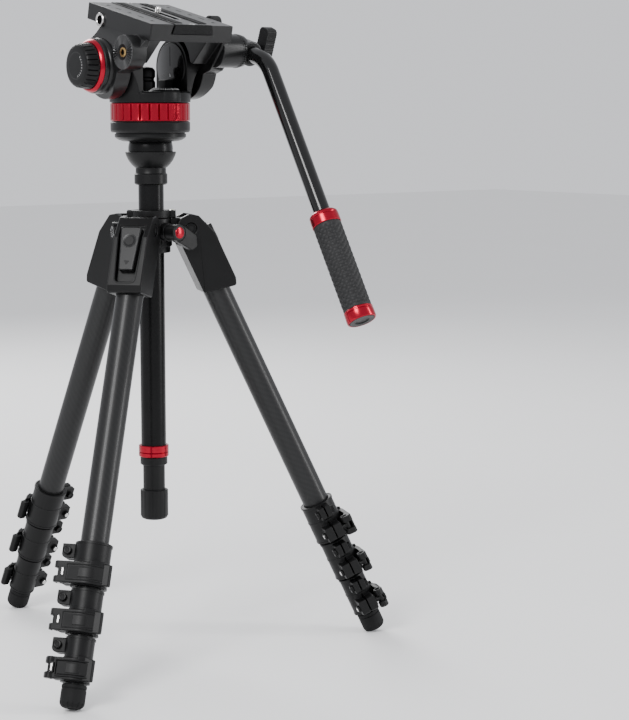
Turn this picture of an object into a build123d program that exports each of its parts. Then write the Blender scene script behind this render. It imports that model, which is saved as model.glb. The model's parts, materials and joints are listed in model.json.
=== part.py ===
"""Four-section carbon tripod with a levelling centre column and a two-axis fluid head.

Millimetres, +Z up, floor at z = 0. The head's right is +X and its lens end is +Y.
Each leg piece is drawn with the leg straight down and the pivot at the origin (+X away
from the column), each head piece that tilts is drawn about the tilt axis, and save()
stands every piece in its place.
"""
import os
from math import cos, radians, sin, sqrt

from build123d import *

# ---- stance ----
LEGS = {"leg_a": 97.1, "leg_b": 217.1, "leg_c": 337.1}   # azimuth of each leg
PIVOT_RADIUS = 40.0
PIVOT_HEIGHT = 466.0
SPREAD = 25.0                                            # leg lean, first angle stop
CENTRE_X = 10.473                                        # middle of the stance box
CENTRE_Y = -1.1

# ---- legs ----
TUBE_DIAMETERS = (29.2, 25.2, 21.5, 17.8)
TUBE_WALL = 1.5
TUBE_TOPS = (18.0, 30.0, 42.0, 54.0)                     # distance below the pivot
CLAMP_TOP = 343.5
CLAMP_PITCH = 48.1
CLAMP_LENGTH = 45.7
BAND_LENGTH = 20.5                                       # fixed upper band of a clamp
CLAMP_WALL = 3.8
FOOT_DIAMETER = 25.4
FOOT_TOP = 487.0
FOOT_ROUND = 6.0
FIT = 0.08                                               # radial running clearance
GAP = 0.35                                               # free clearance between bodies

# ---- leg shoulder ----
SHOULDER_HALF = 19.0
LUG_RADIUS = 11.5
LUG_HALF = 12.0
BOLT_RADIUS = 4.0
BOLT_HEAD = 6.0

# ---- centre column ----
COLUMN_RADIUS = 13.75
COLUMN_BORE = 12.0
COLUMN_BOTTOM = 215.4
HUB_RADIUS = 22.3
BALL_Z = 552.0
BALL_RADIUS = 24.2
LOCK_Z = 463.0
LOCK_AZIMUTH = 277.1
SOCKET_AZIMUTH = 157.1

# ---- head ----
RING_RADIUS = 43.0
RING_BOTTOM = 581.8
RING_TOP = 601.5
TILT_Z = 640.0
TILT_REST = 12.7                                         # platform leans back at rest
ARM_INNER = 28.0
ARM_OUTER = 45.5
PLATFORM_HALF = 51.8
PLATFORM_REAR = -71.4
PLATFORM_FRONT = 53.1
PLATFORM_TOP = 58.7
PLATFORM_THICK = 18.0
CHANNEL = 48.7                                           # floor of the plate's channel
LOCK_HEIGHT = 53.2                                       # plate lock screw
SCREW_START = 59.8                                       # thread of the camera screw
SCREW_TOP = 65.2
SIDE_OUTER = 64.0
LEFT_ROSETTE = (-46.0, 24.0)                             # y, z from the tilt axis
ROSETTE = (-48.0, 28.0)                                  # the pan bar's, on the right
ROSETTE_RADIUS = 18.0
BAR_PLANE = 87.0
BAR_RADIUS = 9.0
BAR_CORNER = (-90.0, 27.0)
BAR_END = (-303.0, -195.0)
BARREL_RADIUS = 13.5                                     # clamp round the bar
BARREL_HALF = 15.0
GRIP_LENGTH = 122.0
THREAD_3_8 = 4.76                                        # major radius of a 3/8 in thread
THREAD_1_4 = 3.17                                        # major radius of a 1/4 in thread

os.makedirs("parts", exist_ok=True)
HOME = Location((-CENTRE_X, -CENTRE_Y, 0))


def leg_place(azimuth):
    """The pivot of one leg, leaning out by the stance angle."""
    return Location((0, 0, 0), (0, 0, azimuth)) * Location(
        (PIVOT_RADIUS, 0, PIVOT_HEIGHT), (0, -SPREAD, 0))


def tilt_place():
    """The tilt axis with the platform leaning back."""
    return Location((0, 0, TILT_Z), (TILT_REST, 0, 0))


def spoke(azimuth, height=0.0):
    """A frame on the column axis whose +X points along an azimuth."""
    return Location((0, 0, height), (0, 0, azimuth))


def save(part, name, place=Location()):
    """Write one finished piece where it stands in the assembly."""
    piece = HOME * place * part
    piece.label = name
    export_step(piece, f"parts/{name}.step")


def tube_radius(index):
    return TUBE_DIAMETERS[index] / 2


def clamp_top(index):
    """Distance below the pivot of the top of clamp 0, 1 or 2."""
    return CLAMP_TOP + CLAMP_PITCH * index


def clamp_radius(index):
    return tube_radius(index) + CLAMP_WALL


# ------------------------------------------------------------------ legs
def shoulder():
    """Leg casting: two ears round the spider's lug, and a socket for the top tube."""
    outline = [(-17, -70), (19.5, -78), (22.5, -70), (22.5, -16), (14, 9), (5, 15),
               (-6, 15), (-17, 6)]
    with BuildPart() as casting:
        with BuildSketch(Plane.XZ) as side:
            with BuildLine():
                Polyline(*outline, close=True)
            make_face()
            fillet(side.vertices(), 3)
        extrude(amount=SHOULDER_HALF, both=True)
        # slot for the spider's lug, open inwards and upwards
        with BuildSketch(Plane.XZ) as slot:
            Circle(LUG_RADIUS + 0.7)
            with Locations((LUG_RADIUS + 0.7 - 40, 40 - LUG_RADIUS - 0.7)):
                Rectangle(80, 80)
        extrude(amount=LUG_HALF + GAP, both=True, mode=Mode.SUBTRACT)
        # socket for the top tube
        with BuildSketch(Plane.XY.offset(-TUBE_TOPS[0])):
            Circle(tube_radius(0) + 0.02)
        extrude(amount=-80, mode=Mode.SUBTRACT)
        # tapering pocket for the angle latch
        with BuildSketch(Plane.YZ.offset(16.3)) as pocket:
            with BuildLine():
                Polyline((-13.5, -3), (13.5, -3), (10.5, -66), (-10.5, -66), close=True)
            make_face()
            fillet(pocket.vertices().sort_by(Axis.Y)[:2], 4)
        extrude(amount=20, mode=Mode.SUBTRACT)
        # pivot bore with sunk bolt heads
        with BuildSketch(Plane.XZ):
            Circle(BOLT_RADIUS + FIT)
        extrude(amount=SHOULDER_HALF + 1, both=True, mode=Mode.SUBTRACT)
        for face_y in (SHOULDER_HALF, 4 - SHOULDER_HALF):
            with BuildSketch(Plane.XZ.offset(-face_y)):
                Circle(BOLT_HEAD + GAP)
            extrude(amount=4, mode=Mode.SUBTRACT)
    return casting.part


def angle_latch():
    """Tapered plate that slides down its pocket to free the leg's angle stop."""
    with BuildPart() as plate:
        with BuildSketch(Plane.YZ.offset(16.7)) as face:
            with BuildLine():
                Polyline((-11.6, -5), (11.6, -5), (8.2, -54), (-8.2, -54), close=True)
            make_face()
            fillet(face.vertices(), 2.5)
        extrude(amount=7.6)
        chamfer(plate.faces().sort_by(Axis.X)[-1].edges(), 0.9)
    return plate.part


def leg_tube(index):
    """One carbon tube, from inside the tube above to its own clamp or foot."""
    if index < 3:
        bottom = clamp_top(index) + BAND_LENGTH - 0.5
    else:
        bottom = FOOT_TOP + 12
    with BuildPart() as tube:
        with BuildSketch(Plane.XY.offset(-TUBE_TOPS[index])):
            Circle(tube_radius(index))
            Circle(tube_radius(index) - TUBE_WALL, mode=Mode.SUBTRACT)
        extrude(amount=TUBE_TOPS[index] - bottom)
    return tube.part


def leg_clamp(index):
    """Clamp casting with its two bolts and the lever's cross pin."""
    top = -clamp_top(index)
    low = top - CLAMP_LENGTH
    outer = clamp_radius(index)
    lug_y = -(outer + 6.5)
    with BuildPart() as casting:
        with BuildSketch(Plane.XY.offset(top)):
            Circle(outer)
        extrude(amount=-CLAMP_LENGTH)
        # ears of the fixed band
        with BuildSketch(Plane.YZ.offset(-7)) as ears:
            with Locations((lug_y / 2 - 1.5, top - 9)):
                Rectangle(-lug_y + 10, 15)
            fillet(ears.vertices().sort_by(Axis.Y)[:2], 5)
        extrude(amount=14)
        # lugs of the split band
        with BuildSketch(Plane.YZ.offset(-10)) as lugs:
            with Locations((lug_y / 2 - 1.5, low + 11.5)):
                Rectangle(-lug_y + 8, 17)
            fillet(lugs.vertices().sort_by(Axis.Y)[:2], 3)
        extrude(amount=20)
        # bores for its own tube and for the tube that slides
        with BuildSketch(Plane.XY.offset(top)):
            Circle(tube_radius(index) + 0.02)
        extrude(amount=-BAND_LENGTH, mode=Mode.SUBTRACT)
        with BuildSketch(Plane.XY.offset(top)):
            Circle(tube_radius(index + 1) + FIT)
        extrude(amount=-CLAMP_LENGTH, mode=Mode.SUBTRACT)
        # slit through ears and lugs
        with BuildSketch(Plane.XY.offset(top)):
            with Locations((0, -30)):
                Rectangle(1.6, 60 - 2 * tube_radius(index + 1) + 10)
        extrude(amount=-CLAMP_LENGTH, mode=Mode.SUBTRACT)
        # bolt holes
        for height, radius in ((top - 9, 2.5), (low + 11.5, 2.5)):
            with BuildSketch(Plane.YZ):
                with Locations((lug_y, height)):
                    Circle(radius)
            extrude(amount=30, both=True, mode=Mode.SUBTRACT)
    with BuildPart() as ear_bolt:
        with BuildSketch(Plane.YZ.offset(-8)):
            with Locations((lug_y, top - 9)):
                Circle(2.5)
        extrude(amount=15)
        for start in (-10.0, 7.0):
            with BuildSketch(Plane.YZ.offset(start)):
                with Locations((lug_y, top - 9)):
                    Circle(4.2)
            extrude(amount=3)
    pin_x = lever_pin(index)[0]
    with BuildPart() as draw_bolt:
        with BuildSketch(Plane.YZ.offset(-13)):
            with Locations((lug_y, low + 11.5)):
                RegularPolygon(4.4, 6)
        extrude(amount=3)
        with BuildSketch(Plane.YZ.offset(-10)):
            with Locations((lug_y, low + 11.5)):
                Circle(2.5)
        extrude(amount=10 + pin_x)
        with BuildSketch(Plane.XY.offset(low + 2.5)):
            with Locations((pin_x, lug_y)):
                Circle(2.5)
        extrude(amount=18)
    return Compound([casting.part.solid(), ear_bolt.part.solid(),
                              draw_bolt.part.solid()])


def lever_pin(index):
    """Plan position of the pin a clamp's lever turns on."""
    return 17.5, -(clamp_radius(index) + 6.5)


def clamp_lever(index):
    """Flip lever: a forked eye on the cross pin and a plate curved round the clamp."""
    low = -clamp_top(index) - CLAMP_LENGTH
    pin_x, pin_y = lever_pin(index)
    inner = clamp_radius(index) + 1.4
    outer = inner + 5.0
    tip_inner, tip_outer = (sqrt(radius ** 2 - 10 ** 2) for radius in (inner, outer))
    with BuildPart() as lever:
        with BuildSketch(Plane.XY.offset(low + 0.8)) as plan:
            Circle(outer)
            Circle(inner, mode=Mode.SUBTRACT)
            with Locations((-30, 0)):
                Rectangle(80, 90, mode=Mode.SUBTRACT)
            with Locations((30, -26)):
                Rectangle(60, 50, mode=Mode.SUBTRACT)
            # straight stretch past the pin
            with BuildLine():
                Polyline((inner + 0.1, 0), (outer, 0), (outer, pin_y - 3),
                         (outer - 3, pin_y - 6), (pin_x, pin_y - 5), (pin_x, pin_y + 5),
                         (inner + 0.1, pin_y + 9), close=True)
            make_face()
            with Locations((pin_x, pin_y)):
                Circle(5.2)
            # lip of the thumb end, turned out
            with BuildLine():
                Polyline((10, tip_inner + 0.4), (16, sqrt(outer ** 2 - 16 ** 2)),
                         (15, tip_outer + 3.2), (11.5, tip_outer + 4.4),
                         (8, tip_outer + 2.6), (8, tip_inner + 1.8), close=True)
            make_face()
        extrude(amount=22)
        # thumb end stands taller
        with BuildSketch(Plane.XY.offset(low + 22.8)):
            Circle(outer)
            Circle(inner, mode=Mode.SUBTRACT)
            with Locations((-33, 0)):
                Rectangle(92, 90, mode=Mode.SUBTRACT)
            with Locations((30, -38)):
                Rectangle(60, 90, mode=Mode.SUBTRACT)
        extrude(amount=2.4)
        # pin bore, and the fork's gap for the draw bolt
        with BuildSketch(Plane.XY.offset(low)):
            with Locations((pin_x, pin_y)):
                Circle(2.5 + FIT)
        extrude(amount=30, mode=Mode.SUBTRACT)
        with BuildSketch(Plane.XY.offset(low + 7.5)):
            with Locations((pin_x - 4, pin_y), (pin_x, pin_y - 8)):
                Rectangle(18, 14)
            with Locations((pin_x - 7, pin_y + 4)):
                Rectangle(14, 16)
        extrude(amount=8, mode=Mode.SUBTRACT)
    return lever.part.solids().sort_by(SortBy.VOLUME)[-1]


def foot():
    """Rubber foot with a rounded tread, pushed over the end of the last tube."""
    radius = FOOT_DIAMETER / 2
    lean = radians(SPREAD)
    drop = PIVOT_HEIGHT - FOOT_ROUND - (radius - FOOT_ROUND) * sin(lean)
    end = drop / cos(lean) + FOOT_ROUND
    with BuildPart() as rubber:
        with BuildSketch(Plane.XY.offset(-FOOT_TOP)):
            Circle(radius)
        extrude(amount=FOOT_TOP - end)
        fillet(rubber.faces().sort_by(Axis.Z)[0].edges(), FOOT_ROUND)
        with BuildSketch(Plane.XY.offset(-FOOT_TOP)):
            Circle(tube_radius(3) + 0.02)
        extrude(amount=-12, mode=Mode.SUBTRACT)
    return rubber.part


def make_legs():
    """Three equal legs."""
    pieces = {"shoulder": shoulder(), "angle_latch": angle_latch(), "foot": foot()}
    for index in range(4):
        pieces[f"tube_{index + 1}"] = leg_tube(index)
    for index in range(3):
        pieces[f"clamp_{index + 1}"] = leg_clamp(index)
        pieces[f"lever_{index + 1}"] = clamp_lever(index)
    for leg, azimuth in LEGS.items():
        for piece, part in pieces.items():
            save(part, f"{leg}_{piece}", leg_place(azimuth))


# ------------------------------------------------------------------ spider and column
def spider():
    """Hub that the column slides in, with two side bosses, and a lug for each leg."""
    with BuildPart() as hub:
        with BuildSketch(Plane.XZ):
            with BuildLine():
                Polyline((0, 440), (20.5, 440), (20.5, 447), (HUB_RADIUS, 447),
                         (HUB_RADIUS, 477.3), (17, 477.3), (17, 486), (0, 486), close=True)
            make_face()
        revolve(axis=Axis.Z)
        for azimuth, radius, start, reach in (
                (LOCK_AZIMUTH, 9.5, 0, 30), (SOCKET_AZIMUTH, 8.5, 0, 43),
                (SOCKET_AZIMUTH, 10.5, 33, 10)):
            with BuildSketch(boss_plane(azimuth).offset(start)):
                Circle(radius)
            extrude(amount=reach)
        with BuildSketch(boss_plane(SOCKET_AZIMUTH).offset(34)):
            Circle(THREAD_3_8)
        extrude(amount=12, mode=Mode.SUBTRACT)
        with BuildSketch(Plane.XY.offset(430)):
            Circle(COLUMN_RADIUS + FIT)
        extrude(amount=70, mode=Mode.SUBTRACT)
    solids = [hub.part.solid()]
    for azimuth in LEGS.values():
        out = Plane(origin=(0, 0, PIVOT_HEIGHT), x_dir=Vector(1, 0, 0).rotate(
            Axis.Z, azimuth), z_dir=Vector(0, -1, 0).rotate(Axis.Z, azimuth))
        with BuildPart() as lug:
            with BuildSketch(out):
                with Locations((PIVOT_RADIUS / 2, 0)):
                    Rectangle(PIVOT_RADIUS, 2 * LUG_RADIUS)
                with Locations((PIVOT_RADIUS, 0)):
                    Circle(LUG_RADIUS)
            extrude(amount=LUG_HALF, both=True)
            with BuildSketch(out):
                with Locations((PIVOT_RADIUS, 0)):
                    Circle(BOLT_RADIUS + 0.02)
            extrude(amount=LUG_HALF + 1, both=True, mode=Mode.SUBTRACT)
            with BuildSketch(Plane.XY.offset(430)):
                Circle(HUB_RADIUS)
            extrude(amount=70, mode=Mode.SUBTRACT)
        solids.append(lug.part.solid())
    return Compound(solids)


def boss_plane(azimuth):
    """Plane across a horizontal boss that points away from the column."""
    return Plane(origin=(0, 0, LOCK_Z), x_dir=Vector(0, 1, 0).rotate(Axis.Z, azimuth),
                 z_dir=Vector(1, 0, 0).rotate(Axis.Z, azimuth))


def pivot_bolt():
    """Bolt of one leg pivot, drawn in the leg's frame, with its two sunk heads."""
    with BuildPart() as bolt:
        with BuildSketch(Plane.XZ):
            Circle(BOLT_RADIUS)
        extrude(amount=16, both=True)
        for start in (15.3, -18.6):
            with BuildSketch(Plane.XZ.offset(-start)):
                Circle(BOLT_HEAD)
            extrude(amount=-3.3)
    return bolt.part


def level_collar():
    """Ring with the bubble level, which turns round the spider's neck."""
    with BuildPart() as ring:
        with BuildSketch(Plane.XY.offset(477.7)):
            Circle(22)
            with PolarLocations(0, 2, start_angle=-35.6):
                with Locations((18, 0)):
                    Rectangle(17, 12)
            Circle(17 + GAP, mode=Mode.SUBTRACT)
        extrude(amount=8.4)
        chamfer(ring.faces().sort_by(Axis.Z)[-1].edges().filter_by(GeomType.LINE), 0.8)
    return ring.part


def column_lock_knob():
    """Wing knob that grips the column, drawn along +X."""
    with BuildPart() as knob:
        with BuildSketch(Plane.YZ.offset(30.4)):
            Circle(9.0)
        extrude(amount=16)
        with BuildSketch(Plane.YZ.offset(38)) as wing:
            with BuildLine():
                Polyline((-6, 6), (8, 7), (26, -4), (27, -16), (19, -20), (-4, -8), close=True)
            make_face()
            fillet(wing.vertices(), 3)
        extrude(amount=7)
        chamfer(knob.faces().sort_by(Axis.X)[-1].edges(), 0.8)
    return knob.part


def column_tube():
    with BuildPart() as tube:
        with BuildSketch(Plane.XY.offset(COLUMN_BOTTOM)):
            Circle(COLUMN_RADIUS)
            Circle(COLUMN_BORE, mode=Mode.SUBTRACT)
        extrude(amount=513.5 - COLUMN_BOTTOM)
    return tube.part


def column_cup():
    """Top fitting of the column: plug, collar, neck and the spherical cup."""
    cup_radius = BALL_RADIUS + GAP
    rim = sqrt(cup_radius ** 2 - 3 ** 2)
    throat = BALL_Z - sqrt(cup_radius ** 2 - 12 ** 2)
    middle = (cup_radius * sin(radians(60)), BALL_Z - cup_radius * cos(radians(60)))
    with BuildPart() as cup:
        with BuildSketch(Plane.XZ):
            with BuildLine():
                Polyline((rim, 549), (27.5, 549), (27.5, 547.5))
                ThreePointArc((27.5, 547.5), (23.6, 538.0), (16.5, 531.6))
                Polyline((16.5, 531.6), (16.5, 526), (17.85, 525.5), (17.85, 516.2),
                         (16.3, 513.5), (COLUMN_BORE - 0.02, 513.5),
                         (COLUMN_BORE - 0.02, 497), (5.2, 497), (5.2, 519), (12, 519),
                         (12, throat))
                ThreePointArc((12, throat), middle, (rim, 549))
            make_face()
        revolve(axis=Axis.Z)
    return cup.part


def centre_column():
    """Column tube with its top fitting, two solids that are glued together."""
    return Compound([column_tube().solid(), column_cup().solid()])


def column_end_ring():
    with BuildPart() as ring:
        with BuildSketch(Plane.XY.offset(COLUMN_BOTTOM)):
            Circle(16.5)
            Circle(COLUMN_RADIUS + 0.02, mode=Mode.SUBTRACT)
        extrude(amount=12.7)
        chamfer(ring.edges().filter_by(GeomType.CIRCLE).sort_by(Edge.length)[-2:], 0.6)
    return ring.part


def levelling_handle():
    """Twist handle under the column, with the rod that runs up to the ball's cup."""
    with BuildPart() as handle:
        with BuildSketch(Plane.XZ):
            with BuildLine():
                Polyline((0, 145.4), (11.5, 145.4), (15.25, 149), (15.25, 177.6),
                         (14.6, 178.2), (12, 178.2), (12, 206.4), (14.9, 206.4),
                         (14.9, 215), (11.5, 215), (11.5, 230), (4.5, 230), (4.5, 515),
                         (0, 515), close=True)
            make_face()
        revolve(axis=Axis.Z)
    return handle.part


def levelling_ball():
    with BuildPart() as ball:
        with Locations((0, 0, BALL_Z)):
            Sphere(BALL_RADIUS)
        with BuildSketch(Plane.XY.offset(BALL_Z + 18)):
            Circle(40)
        extrude(amount=20, mode=Mode.SUBTRACT)
        with BuildSketch(Plane.XY.offset(BALL_Z - 22)):
            Circle(40)
        extrude(amount=-20, mode=Mode.SUBTRACT)
        with BuildSketch(Plane.XY.offset(BALL_Z - 22)):
            Circle(3.5)
        extrude(amount=-2.5)
    return ball.part


# ------------------------------------------------------------------ head
def head_base():
    """Fixed base of the head, hollow over the ball, with the pan spindle on top."""
    socket = BALL_RADIUS + GAP
    mouth = sqrt(socket ** 2 - 8 ** 2)
    roof = BALL_Z + 22.4
    crown = sqrt(socket ** 2 - 22.4 ** 2)
    middle = (socket * cos(radians(40)), BALL_Z + socket * sin(radians(40)))
    with BuildPart() as base:
        with BuildSketch(Plane.XZ):
            with BuildLine():
                Polyline((mouth, 560), (26, 560))
                ThreePointArc((26, 560), (34, 561.6), (38.5, 565))
                Polyline((38.5, 565), (38.5, 568.4), (37.2, 568.6), (37.2, 569.6), (41.5, 569.8),
                         (RING_RADIUS, 573), (RING_RADIUS, 580.4), (42.2, 581.3), (30.5, 581.3),
                         (30.5, 600.6), (15, 600.6), (15, 608.8), (0, 608.8), (0, roof),
                         (crown, roof))
                ThreePointArc((crown, roof), middle, (mouth, 560))
            make_face()
        revolve(axis=Axis.Z)
    return base.part


def pan_drag_ring():
    with BuildPart() as ring:
        with BuildSketch(Plane.XY.offset(RING_BOTTOM)):
            Circle(RING_RADIUS)
            Circle(30.5 + GAP, mode=Mode.SUBTRACT)
        extrude(amount=RING_TOP - RING_BOTTOM)
        chamfer(ring.edges().filter_by(GeomType.CIRCLE).sort_by(Edge.length)[-2:], 0.8)
    return ring.part


def yoke():
    """Pan body: round floor, two arms that carry the tilt axis, level post and dial."""
    floor = RING_TOP + 0.5
    with BuildPart() as body:
        with BuildSketch(Plane.XY.offset(floor)):
            Circle(44)
        extrude(amount=11.5)
        fillet(body.faces().sort_by(Axis.Z)[-1].edges(), 2.5)
        for side in (-1, 1):
            with BuildSketch(Plane.YZ.offset(side * ARM_INNER)):
                with Locations((0, TILT_Z)):
                    Circle(30)
                with BuildLine():
                    Polyline((-30, floor + 1), (30, floor + 1), (29.5, TILT_Z + 4),
                             (-29.5, TILT_Z + 4), close=True)
                make_face()
            extrude(amount=side * (ARM_OUTER - ARM_INNER))
        # the arms' feet follow the round floor and flare out above it
        with BuildSketch(Plane.XZ):
            with BuildLine():
                Polyline((43.5, floor - 1), (90, floor - 1), (90, floor + 42),
                         (56, floor + 42))
                RadiusArc((56, floor + 42), (43.5, floor - 1), -90)
            make_face()
        revolve(axis=Axis.Z, mode=Mode.SUBTRACT)
        for side in (-1, 1):
            with BuildSketch(Plane.YZ.offset(side * (ARM_INNER + 0.1))):
                with Locations((0, TILT_Z)):
                    Circle(26.5)
            extrude(amount=-side * 1.4)
            # bearing of the tilt trunnion
            with BuildSketch(Plane.YZ.offset(side * (ARM_INNER + 3))):
                with Locations((0, TILT_Z)):
                    Circle(12 + FIT)
            extrude(amount=side * 20, mode=Mode.SUBTRACT)
        # level post with a waist and a domed cap
        with BuildSketch(Plane.XZ.offset(-8)):
            with BuildLine():
                Polyline((0, floor + 8), (10.2, floor + 8), (10.2, 624), (8.9, 625.5),
                         (8.9, 627.5), (10.2, 629), (10.2, 636), (7.5, 639.2), (0, 640.5),
                         close=True)
            make_face()
        revolve(axis=Axis((0, 8, 0), (0, 0, 1)))
        # pan dial dome at the back, and the small pan lock housing
        with BuildSketch(Plane.XZ.offset(28)):
            with BuildLine():
                Polyline((0, floor + 0.5), (18, floor + 0.5), (18, floor + 9.5),
                         (16.6, floor + 12), (12.5, floor + 15), (0, floor + 15), close=True)
            make_face()
        revolve(axis=Axis((0, -28, 0), (0, 0, 1)))
        with BuildSketch(Plane.XY.offset(floor + 8)):
            with Locations((22.5, 2)):
                Rectangle(12, 13)
        extrude(amount=16)
        with BuildSketch(Plane.XY.offset(floor - 1)):
            Circle(15 + FIT)
        extrude(amount=8.3, mode=Mode.SUBTRACT)
    return body.part


def tilt_body():
    """Tilting casting: platform with its plate channel, two housings and trunnions."""
    floor = PLATFORM_TOP - PLATFORM_THICK
    with BuildPart() as body:
        with BuildSketch(Plane.XY.offset(floor)):
            with Locations((0, (PLATFORM_REAR + PLATFORM_FRONT) / 2)):
                Rectangle(2 * PLATFORM_HALF, PLATFORM_FRONT - PLATFORM_REAR)
        extrude(amount=PLATFORM_THICK)
        fillet(body.edges().filter_by(Axis.Z), 1.5)
        for side in (-1, 1):
            # housing: round below the axis and straight up to the platform
            with BuildSketch(Plane.YZ.offset(side * (ARM_OUTER + 0.7))):
                Circle(35)
                with BuildLine():
                    Polyline((-35, 0), (35, 0), (24, 32), (24, floor + 3),
                             (-64, floor + 3), (-62, 34), (-46, 6), close=True)
                make_face()
            extrude(amount=side * (SIDE_OUTER - ARM_OUTER - 0.7))
            # web over the arm, from the platform down to the housing
            with BuildSketch(Plane.YZ.offset(side * (ARM_INNER + 1))):
                with BuildLine():
                    Polyline((-37, 11), (-62, floor + 3), (24, floor + 3), (24, 22),
                             (0, 20), close=True)
                make_face()
                Circle(34, mode=Mode.SUBTRACT)
            extrude(amount=side * 18)
            with BuildSketch(Plane.YZ.offset(side * (ARM_INNER + 3.6))):
                Circle(12)
            extrude(amount=side * 20)
            # slanting cuts above and below the housing
            with BuildSketch(Plane.XZ.offset(-80)):
                with BuildLine():
                    Polyline((side * 51.8, floor - 1), (side * 64.2, 20), (side * 80, 20),
                             (side * 80, floor + 5), (side * 51.8, floor + 5), close=True)
                make_face()
                with BuildLine():
                    Polyline((side * 64.2, -14), (side * 57, -36), (side * 80, -36),
                             (side * 80, -14), close=True)
                make_face()
            extrude(amount=160, mode=Mode.SUBTRACT)
            reach, rosette = (66.0, LEFT_ROSETTE) if side < 0 else (76.0, ROSETTE)
            with BuildSketch(Plane.YZ.offset(side * 48)):
                with Locations(rosette):
                    Circle(ROSETTE_RADIUS)
            extrude(amount=side * (reach - 48))
            # threaded insert of the rosette
            with BuildSketch(Plane.YZ.offset(side * (reach - 10))):
                with Locations(rosette):
                    Circle(3.0)
            extrude(amount=side * 12, mode=Mode.SUBTRACT)
        # seat of the tilt drag knob
        with BuildSketch(Plane.YZ.offset(-60)):
            Circle(26)
        extrude(amount=-8.6)
        # boss of the side socket
        with BuildSketch(Plane.YZ.offset(-PLATFORM_HALF + 10)):
            with Locations((25, floor + 4)):
                Circle(8)
        extrude(amount=-11)
        with BuildSketch(Plane.YZ.offset(-PLATFORM_HALF + 9)):
            with Locations((25, floor + 4)):
                Circle(THREAD_3_8)
        extrude(amount=-11, mode=Mode.SUBTRACT)
        # dovetail channel for the sliding plate
        with BuildSketch(Plane.XZ.offset(-90)):
            with BuildLine():
                Polyline((-26, CHANNEL), (26, CHANNEL), (23, PLATFORM_TOP + 1),
                         (-23, PLATFORM_TOP + 1), close=True)
            make_face()
        extrude(amount=180, mode=Mode.SUBTRACT)
        # screw hole of the plate lock
        with BuildSketch(Plane.YZ.offset(20)):
            with Locations((-20, LOCK_HEIGHT)):
                Circle(3 + FIT)
        extrude(amount=40, mode=Mode.SUBTRACT)
        # screw hole of the tilt lock
        with BuildSketch(Plane.YZ.offset(50)):
            with Locations((0, -8.5)):
                Circle(3 + FIT)
        extrude(amount=20, mode=Mode.SUBTRACT)
    return body.part


def tilt_drag_knob():
    """Drag knob on the left of the tilt axis: red cone ring and black grip, two solids."""
    with BuildPart() as ring:
        with BuildSketch(Plane.XY):
            with BuildLine():
                Polyline((-69, 0), (-69, 29), (-71, 29), (-78, 26.5), (-78, 0), close=True)
            make_face()
        revolve(axis=Axis.X)
    with BuildPart() as grip:
        with BuildSketch(Plane.XY):
            with BuildLine():
                Polyline((-78, 0), (-78, 24), (-89.5, 22.5), (-92.6, 19.5), (-92.6, 0),
                         close=True)
            make_face()
        revolve(axis=Axis.X)
    return Compound([ring.part.solid(), grip.part.solid()])


def tilt_lock_knob():
    """Small round lock knob on the right housing, with its screw."""
    with BuildPart() as knob:
        with BuildSketch(Plane.YZ.offset(64.4)):
            with Locations((0, -8.5)):
                Circle(10.5)
        extrude(amount=11)
        chamfer(knob.faces().sort_by(Axis.X)[-1].edges(), 1.2)
        with BuildSketch(Plane.YZ.offset(52)):
            with Locations((0, -8.5)):
                Circle(3)
        extrude(amount=13)
    return knob.part


def sliding_plate():
    """Dovetail camera plate with its long screw slot."""
    floor = CHANNEL + GAP
    with BuildPart() as plate:
        with BuildSketch(Plane.XZ.offset(-PLATFORM_FRONT - 1)):
            with BuildLine():
                Polyline((-25.4, floor), (25.4, floor), (22.5, PLATFORM_TOP),
                         (22.5, PLATFORM_TOP + 0.6), (-22.5, PLATFORM_TOP + 0.6),
                         (-22.5, PLATFORM_TOP), close=True)
            make_face()
        extrude(amount=PLATFORM_FRONT - PLATFORM_REAR + 2.5)
        with BuildSketch(Plane.XY.offset(floor - 1)):
            with Locations((0, -8)):
                SlotOverall(70, 7.2, rotation=90)
        extrude(amount=20, mode=Mode.SUBTRACT)
        with BuildSketch(Plane.XY.offset(floor - 1)):
            with Locations((0, -8)):
                SlotOverall(80, 16.5, rotation=90)
        extrude(amount=6, mode=Mode.SUBTRACT)
    return plate.part


def camera_screw():
    """Quarter-inch camera screw in the plate's slot."""
    floor = CHANNEL + GAP
    with BuildPart() as screw:
        with BuildSketch(Plane.XY.offset(floor + 0.4)):
            with Locations((0, -4)):
                Circle(7.6)
        extrude(amount=4.2)
        # relieved neck in the slot, and the thread above the plate
        with BuildSketch(Plane.XY.offset(floor + 0.4)):
            with Locations((0, -4)):
                Circle(2.6)
        extrude(amount=SCREW_START - floor - 0.4)
        with BuildSketch(Plane.XY.offset(SCREW_START)):
            with Locations((0, -4)):
                Circle(THREAD_1_4)
        extrude(amount=SCREW_TOP - SCREW_START)
        chamfer(screw.faces().sort_by(Axis.Z)[-1].edges(), 0.6)
    return screw.part


def plate_lock_knob():
    """Round side knob whose screw presses on the plate's dovetail."""
    with BuildPart() as knob:
        with BuildSketch(Plane.YZ.offset(30)):
            with Locations((-20, LOCK_HEIGHT)):
                Circle(3)
        extrude(amount=26)
        with BuildSketch(Plane.YZ.offset(55)):
            with Locations((-20, LOCK_HEIGHT)):
                Circle(7.5)
        extrude(amount=14)
        chamfer(knob.faces().sort_by(Axis.X)[-1].edges(), 1)
    return knob.part


def bar_point(point):
    """A point of the pan bar's plane in space."""
    return (BAR_PLANE, point[0], point[1])


def bar_direction(start, end):
    return Vector(0, end[0] - start[0], end[1] - start[1]).normalized()


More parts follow.
